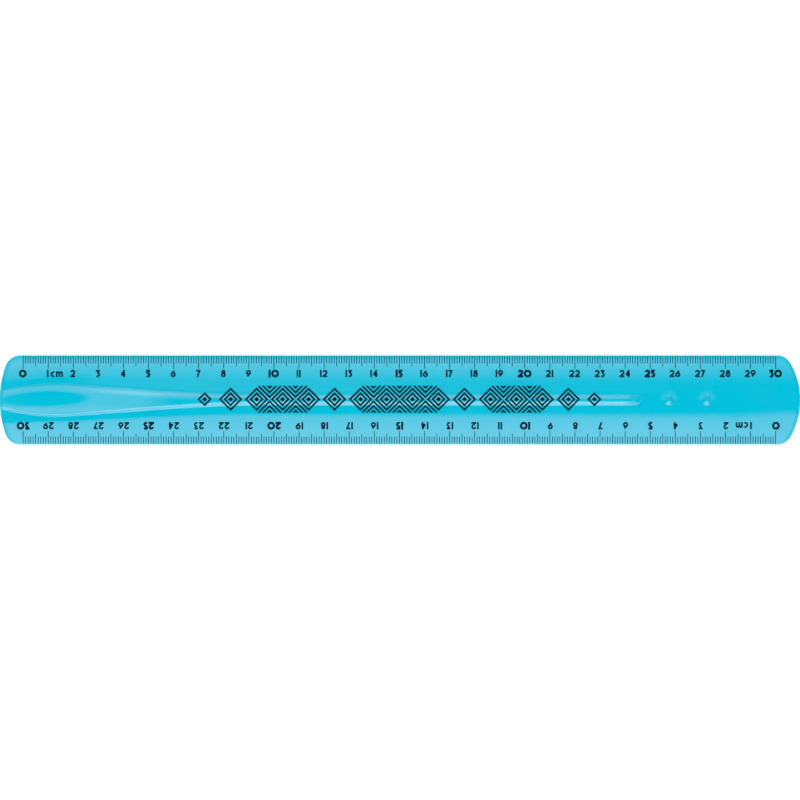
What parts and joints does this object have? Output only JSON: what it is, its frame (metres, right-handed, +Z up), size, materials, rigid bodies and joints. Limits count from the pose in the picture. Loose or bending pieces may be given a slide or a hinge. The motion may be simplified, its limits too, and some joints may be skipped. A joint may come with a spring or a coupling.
{
  "type": "flexible ruler",
  "caption": "Soft translucent ruler with bevelled scale edges, a raised spine swelling into a leaf-shaped pad, and two round studs; it bends and twists along its length.",
  "frame": {"origin": "on the flat underside, below the middle of the blade's length and width", "axes": "+X along the scale from its zero mark to its 30 cm mark, +Y across the blade towards the edge that reads left to right, +Z up out of the printed face"},
  "size_m": [0.319, 0.0356, 0.0031],
  "materials": {
    "blade": "glossy soft translucent cyan plastic"
  },
  "bodies": {
    "left_end": {"blade_left_end": "blade"},
    "cm_01b": {"blade_cm_01b": "blade"},
    "cm_02a": {"blade_cm_02a": "blade"},
    "cm_02b": {"blade_cm_02b": "blade"},
    "cm_03a": {"blade_cm_03a": "blade"},
    "cm_03b": {"blade_cm_03b": "blade"},
    "cm_04a": {"blade_cm_04a": "blade"},
    "cm_04b": {"blade_cm_04b": "blade"},
    "cm_05a": {"blade_cm_05a": "blade"},
    "cm_05b": {"blade_cm_05b": "blade"},
    "cm_06a": {"blade_cm_06a": "blade"},
    "cm_06b": {"blade_cm_06b": "blade"},
    "cm_07a": {"blade_cm_07a": "blade"},
    "cm_07b": {"blade_cm_07b": "blade"},
    "cm_08a": {"blade_cm_08a": "blade"},
    "cm_08b": {"blade_cm_08b": "blade"},
    "cm_09a": {"blade_cm_09a": "blade"},
    "cm_09b": {"blade_cm_09b": "blade"},
    "cm_10a": {"blade_cm_10a": "blade"},
    "cm_10b": {"blade_cm_10b": "blade"},
    "cm_11a": {"blade_cm_11a": "blade"},
    "cm_11b": {"blade_cm_11b": "blade"},
    "cm_12a": {"blade_cm_12a": "blade"},
    "cm_12b": {"blade_cm_12b": "blade"},
    "cm_13a": {"blade_cm_13a": "blade"},
    "cm_13b": {"blade_cm_13b": "blade"},
    "cm_14a": {"blade_cm_14a": "blade"},
    "cm_14b": {"blade_cm_14b": "blade"},
    "cm_15a": {"blade_cm_15a": "blade"},
    "middle": {"blade_cm_15b": "blade"},
    "cm_16a": {"blade_cm_16a": "blade"},
    "cm_16b": {"blade_cm_16b": "blade"},
    "cm_17a": {"blade_cm_17a": "blade"},
    "cm_17b": {"blade_cm_17b": "blade"},
    "cm_18a": {"blade_cm_18a": "blade"},
    "cm_18b": {"blade_cm_18b": "blade"},
    "cm_19a": {"blade_cm_19a": "blade"},
    "cm_19b": {"blade_cm_19b": "blade"},
    "cm_20a": {"blade_cm_20a": "blade"},
    "cm_20b": {"blade_cm_20b": "blade"},
    "cm_21a": {"blade_cm_21a": "blade"},
    "cm_21b": {"blade_cm_21b": "blade"},
    "cm_22a": {"blade_cm_22a": "blade"},
    "cm_22b": {"blade_cm_22b": "blade"},
    "cm_23a": {"blade_cm_23a": "blade"},
    "cm_23b": {"blade_cm_23b": "blade"},
    "cm_24a": {"blade_cm_24a": "blade"},
    "cm_24b": {"blade_cm_24b": "blade"},
    "cm_25a": {"blade_cm_25a": "blade"},
    "cm_25b": {"blade_cm_25b": "blade"},
    "cm_26a": {"blade_cm_26a": "blade"},
    "cm_26b": {"blade_cm_26b": "blade"},
    "cm_27a": {"blade_cm_27a": "blade"},
    "cm_27b": {"blade_cm_27b": "blade"},
    "cm_28a": {"blade_cm_28a": "blade"},
    "cm_28b": {"blade_cm_28b": "blade"},
    "cm_29a": {"blade_cm_29a": "blade"},
    "cm_29b": {"blade_cm_29b": "blade"},
    "cm_30a": {"blade_cm_30a": "blade"},
    "right_end": {"blade_right_end": "blade"}
  },
  "joints": [
    {"name": "right_bend", "type": "hinge", "parent": "middle", "child": "cm_16a", "pos_m": [-0.00025, 0, 0.0011], "axis": [0, -1, 0], "range_deg": [-6.2, 6.2], "stiffness_Nm_per_rad": 3},
    {"name": "bend_at_16cm", "type": "hinge", "parent": "cm_16b", "child": "cm_17a", "pos_m": [0.00975, 0, 0.0011], "axis": [0, -1, 0], "range_deg": [-6.2, 6.2]},
    {"name": "bend_at_17cm", "type": "hinge", "parent": "cm_17b", "child": "cm_18a", "pos_m": [0.01975, 0, 0.0011], "axis": [0, -1, 0], "range_deg": [-6.2, 6.2]},
    {"name": "bend_at_18cm", "type": "hinge", "parent": "cm_18b", "child": "cm_19a", "pos_m": [0.02975, 0, 0.0011], "axis": [0, -1, 0], "range_deg": [-6.2, 6.2]},
    {"name": "bend_at_19cm", "type": "hinge", "parent": "cm_19b", "child": "cm_20a", "pos_m": [0.03975, 0, 0.0011], "axis": [0, -1, 0], "range_deg": [-6.2, 6.2]},
    {"name": "bend_at_20cm", "type": "hinge", "parent": "cm_20b", "child": "cm_21a", "pos_m": [0.04975, 0, 0.0011], "axis": [0, -1, 0], "range_deg": [-6.2, 6.2]},
    {"name": "bend_at_21cm", "type": "hinge", "parent": "cm_21b", "child": "cm_22a", "pos_m": [0.05975, 0, 0.0011], "axis": [0, -1, 0], "range_deg": [-6.2, 6.2]},
    {"name": "bend_at_22cm", "type": "hinge", "parent": "cm_22b", "child": "cm_23a", "pos_m": [0.06975, 0, 0.0011], "axis": [0, -1, 0], "range_deg": [-6.2, 6.2]},
    {"name": "bend_at_23cm", "type": "hinge", "parent": "cm_23b", "child": "cm_24a", "pos_m": [0.07975, 0, 0.0011], "axis": [0, -1, 0], "range_deg": [-6.2, 6.2]},
    {"name": "bend_at_24cm", "type": "hinge", "parent": "cm_24b", "child": "cm_25a", "pos_m": [0.08975, 0, 0.0011], "axis": [0, -1, 0], "range_deg": [-6.2, 6.2]},
    {"name": "bend_at_25cm", "type": "hinge", "parent": "cm_25b", "child": "cm_26a", "pos_m": [0.09975, 0, 0.0011], "axis": [0, -1, 0], "range_deg": [-6.2, 6.2]},
    {"name": "bend_at_26cm", "type": "hinge", "parent": "cm_26b", "child": "cm_27a", "pos_m": [0.10975, 0, 0.0011], "axis": [0, -1, 0], "range_deg": [-6.2, 6.2]},
    {"name": "bend_at_27cm", "type": "hinge", "parent": "cm_27b", "child": "cm_28a", "pos_m": [0.11975, 0, 0.0011], "axis": [0, -1, 0], "range_deg": [-6.2, 6.2]},
    {"name": "bend_at_28cm", "type": "hinge", "parent": "cm_28b", "child": "cm_29a", "pos_m": [0.12975, 0, 0.0011], "axis": [0, -1, 0], "range_deg": [-6.2, 6.2]},
    {"name": "bend_at_29cm", "type": "hinge", "parent": "cm_29b", "child": "cm_30a", "pos_m": [0.13975, 0, 0.0011], "axis": [0, -1, 0], "range_deg": [-6.2, 6.2]},
    {"name": "right_twist", "type": "hinge", "parent": "cm_16a", "child": "cm_16b", "pos_m": [0.00475, 0, 0.0011], "axis": [1, 0, 0], "range_deg": [-6, 6], "stiffness_Nm_per_rad": 4.05},
    {"name": "twist_at_16_5cm", "type": "hinge", "parent": "cm_17a", "child": "cm_17b", "pos_m": [0.01475, 0, 0.0011], "axis": [1, 0, 0], "range_deg": [-6, 6]},
    {"name": "twist_at_17_5cm", "type": "hinge", "parent": "cm_18a", "child": "cm_18b", "pos_m": [0.02475, 0, 0.0011], "axis": [1, 0, 0], "range_deg": [-6, 6]},
    {"name": "twist_at_18_5cm", "type": "hinge", "parent": "cm_19a", "child": "cm_19b", "pos_m": [0.03475, 0, 0.0011], "axis": [1, 0, 0], "range_deg": [-6, 6]},
    {"name": "twist_at_19_5cm", "type": "hinge", "parent": "cm_20a", "child": "cm_20b", "pos_m": [0.04475, 0, 0.0011], "axis": [1, 0, 0], "range_deg": [-6, 6]},
    {"name": "twist_at_20_5cm", "type": "hinge", "parent": "cm_21a", "child": "cm_21b", "pos_m": [0.05475, 0, 0.0011], "axis": [1, 0, 0], "range_deg": [-6, 6]},
    {"name": "twist_at_21_5cm", "type": "hinge", "parent": "cm_22a", "child": "cm_22b", "pos_m": [0.06475, 0, 0.0011], "axis": [1, 0, 0], "range_deg": [-6, 6]},
    {"name": "twist_at_22_5cm", "type": "hinge", "parent": "cm_23a", "child": "cm_23b", "pos_m": [0.07475, 0, 0.0011], "axis": [1, 0, 0], "range_deg": [-6, 6]},
    {"name": "twist_at_23_5cm", "type": "hinge", "parent": "cm_24a", "child": "cm_24b", "pos_m": [0.08475, 0, 0.0011], "axis": [1, 0, 0], "range_deg": [-6, 6]},
    {"name": "twist_at_24_5cm", "type": "hinge", "parent": "cm_25a", "child": "cm_25b", "pos_m": [0.09475, 0, 0.0011], "axis": [1, 0, 0], "range_deg": [-6, 6]},
    {"name": "twist_at_25_5cm", "type": "hinge", "parent": "cm_26a", "child": "cm_26b", "pos_m": [0.10475, 0, 0.0011], "axis": [1, 0, 0], "range_deg": [-6, 6]},
    {"name": "twist_at_26_5cm", "type": "hinge", "parent": "cm_27a", "child": "cm_27b", "pos_m": [0.11475, 0, 0.0011], "axis": [1, 0, 0], "range_deg": [-6, 6]},
    {"name": "twist_at_27_5cm", "type": "hinge", "parent": "cm_28a", "child": "cm_28b", "pos_m": [0.12475, 0, 0.0011], "axis": [1, 0, 0], "range_deg": [-6, 6]},
    {"name": "twist_at_28_5cm", "type": "hinge", "parent": "cm_29a", "child": "cm_29b", "pos_m": [0.13475, 0, 0.0011], "axis": [1, 0, 0], "range_deg": [-6, 6]},
    {"name": "twist_at_29_5cm", "type": "hinge", "parent": "cm_30a", "child": "right_end", "pos_m": [0.14475, 0, 0.0011], "axis": [1, 0, 0], "range_deg": [-6, 6]},
    {"name": "left_bend", "type": "hinge", "parent": "cm_15a", "child": "cm_14b", "pos_m": [-0.01025, 0, 0.0011], "axis": [0, 1, 0], "range_deg": [-6.2, 6.2], "stiffness_Nm_per_rad": 2.8},
    {"name": "bend_at_13cm", "type": "hinge", "parent": "cm_14a", "child": "cm_13b", "pos_m": [-0.02025, 0, 0.0011], "axis": [0, 1, 0], "range_deg": [-6.2, 6.2]},
    {"name": "bend_at_12cm", "type": "hinge", "parent": "cm_13a", "child": "cm_12b", "pos_m": [-0.03025, 0, 0.0011], "axis": [0, 1, 0], "range_deg": [-6.2, 6.2]},
    {"name": "bend_at_11cm", "type": "hinge", "parent": "cm_12a", "child": "cm_11b", "pos_m": [-0.04025, 0, 0.0011], "axis": [0, 1, 0], "range_deg": [-6.2, 6.2]},
    {"name": "bend_at_10cm", "type": "hinge", "parent": "cm_11a", "child": "cm_10b", "pos_m": [-0.05025, 0, 0.0011], "axis": [0, 1, 0], "range_deg": [-6.2, 6.2]},
    {"name": "bend_at_09cm", "type": "hinge", "parent": "cm_10a", "child": "cm_09b", "pos_m": [-0.06025, 0, 0.0011], "axis": [0, 1, 0], "range_deg": [-6.2, 6.2]},
    {"name": "bend_at_08cm", "type": "hinge", "parent": "cm_09a", "child": "cm_08b", "pos_m": [-0.07025, 0, 0.0011], "axis": [0, 1, 0], "range_deg": [-6.2, 6.2]},
    {"name": "bend_at_07cm", "type": "hinge", "parent": "cm_08a", "child": "cm_07b", "pos_m": [-0.08025, 0, 0.0011], "axis": [0, 1, 0], "range_deg": [-6.2, 6.2]},
    {"name": "bend_at_06cm", "type": "hinge", "parent": "cm_07a", "child": "cm_06b", "pos_m": [-0.09025, 0, 0.0011], "axis": [0, 1, 0], "range_deg": [-6.2, 6.2]},
    {"name": "bend_at_05cm", "type": "hinge", "parent": "cm_06a", "child": "cm_05b", "pos_m": [-0.10025, 0, 0.0011], "axis": [0, 1, 0], "range_deg": [-6.2, 6.2]},
    {"name": "bend_at_04cm", "type": "hinge", "parent": "cm_05a", "child": "cm_04b", "pos_m": [-0.11025, 0, 0.0011], "axis": [0, 1, 0], "range_deg": [-6.2, 6.2]},
    {"name": "bend_at_03cm", "type": "hinge", "parent": "cm_04a", "child": "cm_03b", "pos_m": [-0.12025, 0, 0.0011], "axis": [0, 1, 0], "range_deg": [-6.2, 6.2]},
    {"name": "bend_at_02cm", "type": "hinge", "parent": "cm_03a", "child": "cm_02b", "pos_m": [-0.13025, 0, 0.0011], "axis": [0, 1, 0], "range_deg": [-6.2, 6.2]},
    {"name": "bend_at_01cm", "type": "hinge", "parent": "cm_02a", "child": "cm_01b", "pos_m": [-0.14025, 0, 0.0011], "axis": [0, 1, 0], "range_deg": [-6.2, 6.2]},
    {"name": "left_twist", "type": "hinge", "parent": "middle", "child": "cm_15a", "pos_m": [-0.00525, 0, 0.0011], "axis": [-1, 0, 0], "range_deg": [-6, 6], "stiffness_Nm_per_rad": 4.05},
    {"name": "twist_at_13_5cm", "type": "hinge", "parent": "cm_14b", "child": "cm_14a", "pos_m": [-0.01525, 0, 0.0011], "axis": [-1, 0, 0], "range_deg": [-6, 6]},
    {"name": "twist_at_12_5cm", "type": "hinge", "parent": "cm_13b", "child": "cm_13a", "pos_m": [-0.02525, 0, 0.0011], "axis": [-1, 0, 0], "range_deg": [-6, 6]},
    {"name": "twist_at_11_5cm", "type": "hinge", "parent": "cm_12b", "child": "cm_12a", "pos_m": [-0.03525, 0, 0.0011], "axis": [-1, 0, 0], "range_deg": [-6, 6]},
    {"name": "twist_at_10_5cm", "type": "hinge", "parent": "cm_11b", "child": "cm_11a", "pos_m": [-0.04525, 0, 0.0011], "axis": [-1, 0, 0], "range_deg": [-6, 6]},
    {"name": "twist_at_09_5cm", "type": "hinge", "parent": "cm_10b", "child": "cm_10a", "pos_m": [-0.05525, 0, 0.0011], "axis": [-1, 0, 0], "range_deg": [-6, 6]},
    {"name": "twist_at_08_5cm", "type": "hinge", "parent": "cm_09b", "child": "cm_09a", "pos_m": [-0.06525, 0, 0.0011], "axis": [-1, 0, 0], "range_deg": [-6, 6]},
    {"name": "twist_at_07_5cm", "type": "hinge", "parent": "cm_08b", "child": "cm_08a", "pos_m": [-0.07525, 0, 0.0011], "axis": [-1, 0, 0], "range_deg": [-6, 6]},
    {"name": "twist_at_06_5cm", "type": "hinge", "parent": "cm_07b", "child": "cm_07a", "pos_m": [-0.08525, 0, 0.0011], "axis": [-1, 0, 0], "range_deg": [-6, 6]},
    {"name": "twist_at_05_5cm", "type": "hinge", "parent": "cm_06b", "child": "cm_06a", "pos_m": [-0.09525, 0, 0.0011], "axis": [-1, 0, 0], "range_deg": [-6, 6]},
    {"name": "twist_at_04_5cm", "type": "hinge", "parent": "cm_05b", "child": "cm_05a", "pos_m": [-0.10525, 0, 0.0011], "axis": [-1, 0, 0], "range_deg": [-6, 6]},
    {"name": "twist_at_03_5cm", "type": "hinge", "parent": "cm_04b", "child": "cm_04a", "pos_m": [-0.11525, 0, 0.0011], "axis": [-1, 0, 0], "range_deg": [-6, 6]},
    {"name": "twist_at_02_5cm", "type": "hinge", "parent": "cm_03b", "child": "cm_03a", "pos_m": [-0.12525, 0, 0.0011], "axis": [-1, 0, 0], "range_deg": [-6, 6]},
    {"name": "twist_at_01_5cm", "type": "hinge", "parent": "cm_02b", "child": "cm_02a", "pos_m": [-0.13525, 0, 0.0011], "axis": [-1, 0, 0], "range_deg": [-6, 6]},
    {"name": "twist_at_00_5cm", "type": "hinge", "parent": "cm_01b", "child": "left_end", "pos_m": [-0.14525, 0, 0.0011], "axis": [-1, 0, 0], "range_deg": [-6, 6]}
  ],
  "couplings": [
    {"joint": "bend_at_16cm", "follows": "right_bend", "ratio": 1},
    {"joint": "bend_at_17cm", "follows": "right_bend", "ratio": 1},
    {"joint": "bend_at_18cm", "follows": "right_bend", "ratio": 1},
    {"joint": "bend_at_19cm", "follows": "right_bend", "ratio": 1},
    {"joint": "bend_at_20cm", "follows": "right_bend", "ratio": 1},
    {"joint": "bend_at_21cm", "follows": "right_bend", "ratio": 1},
    {"joint": "bend_at_22cm", "follows": "right_bend", "ratio": 1},
    {"joint": "bend_at_23cm", "follows": "right_bend", "ratio": 1},
    {"joint": "bend_at_24cm", "follows": "right_bend", "ratio": 1},
    {"joint": "bend_at_25cm", "follows": "right_bend", "ratio": 1},
    {"joint": "bend_at_26cm", "follows": "right_bend", "ratio": 1},
    {"joint": "bend_at_27cm", "follows": "right_bend", "ratio": 1},
    {"joint": "bend_at_28cm", "follows": "right_bend", "ratio": 1},
    {"joint": "bend_at_29cm", "follows": "right_bend", "ratio": 1},
    {"joint": "twist_at_16_5cm", "follows": "right_twist", "ratio": 1},
    {"joint": "twist_at_17_5cm", "follows": "right_twist", "ratio": 1},
    {"joint": "twist_at_18_5cm", "follows": "right_twist", "ratio": 1},
    {"joint": "twist_at_19_5cm", "follows": "right_twist", "ratio": 1},
    {"joint": "twist_at_20_5cm", "follows": "right_twist", "ratio": 1},
    {"joint": "twist_at_21_5cm", "follows": "right_twist", "ratio": 1},
    {"joint": "twist_at_22_5cm", "follows": "right_twist", "ratio": 1},
    {"joint": "twist_at_23_5cm", "follows": "right_twist", "ratio": 1},
    {"joint": "twist_at_24_5cm", "follows": "right_twist", "ratio": 1},
    {"joint": "twist_at_25_5cm", "follows": "right_twist", "ratio": 1},
    {"joint": "twist_at_26_5cm", "follows": "right_twist", "ratio": 1},
    {"joint": "twist_at_27_5cm", "follows": "right_twist", "ratio": 1},
    {"joint": "twist_at_28_5cm", "follows": "right_twist", "ratio": 1},
    {"joint": "twist_at_29_5cm", "follows": "right_twist", "ratio": 1},
    {"joint": "bend_at_13cm", "follows": "left_bend", "ratio": 1},
    {"joint": "bend_at_12cm", "follows": "left_bend", "ratio": 1},
    {"joint": "bend_at_11cm", "follows": "left_bend", "ratio": 1},
    {"joint": "bend_at_10cm", "follows": "left_bend", "ratio": 1},
    {"joint": "bend_at_09cm", "follows": "left_bend", "ratio": 1},
    {"joint": "bend_at_08cm", "follows": "left_bend", "ratio": 1},
    {"joint": "bend_at_07cm", "follows": "left_bend", "ratio": 1},
    {"joint": "bend_at_06cm", "follows": "left_bend", "ratio": 1},
    {"joint": "bend_at_05cm", "follows": "left_bend", "ratio": 1},
    {"joint": "bend_at_04cm", "follows": "left_bend", "ratio": 1},
    {"joint": "bend_at_03cm", "follows": "left_bend", "ratio": 1},
    {"joint": "bend_at_02cm", "follows": "left_bend", "ratio": 1},
    {"joint": "bend_at_01cm", "follows": "left_bend", "ratio": 1},
    {"joint": "twist_at_13_5cm", "follows": "left_twist", "ratio": 1},
    {"joint": "twist_at_12_5cm", "follows": "left_twist", "ratio": 1},
    {"joint": "twist_at_11_5cm", "follows": "left_twist", "ratio": 1},
    {"joint": "twist_at_10_5cm", "follows": "left_twist", "ratio": 1},
    {"joint": "twist_at_09_5cm", "follows": "left_twist", "ratio": 1},
    {"joint": "twist_at_08_5cm", "follows": "left_twist", "ratio": 1},
    {"joint": "twist_at_07_5cm", "follows": "left_twist", "ratio": 1},
    {"joint": "twist_at_06_5cm", "follows": "left_twist", "ratio": 1},
    {"joint": "twist_at_05_5cm", "follows": "left_twist", "ratio": 1},
    {"joint": "twist_at_04_5cm", "follows": "left_twist", "ratio": 1},
    {"joint": "twist_at_03_5cm", "follows": "left_twist", "ratio": 1},
    {"joint": "twist_at_02_5cm", "follows": "left_twist", "ratio": 1},
    {"joint": "twist_at_01_5cm", "follows": "left_twist", "ratio": 1},
    {"joint": "twist_at_00_5cm", "follows": "left_twist", "ratio": 1}
  ]
}
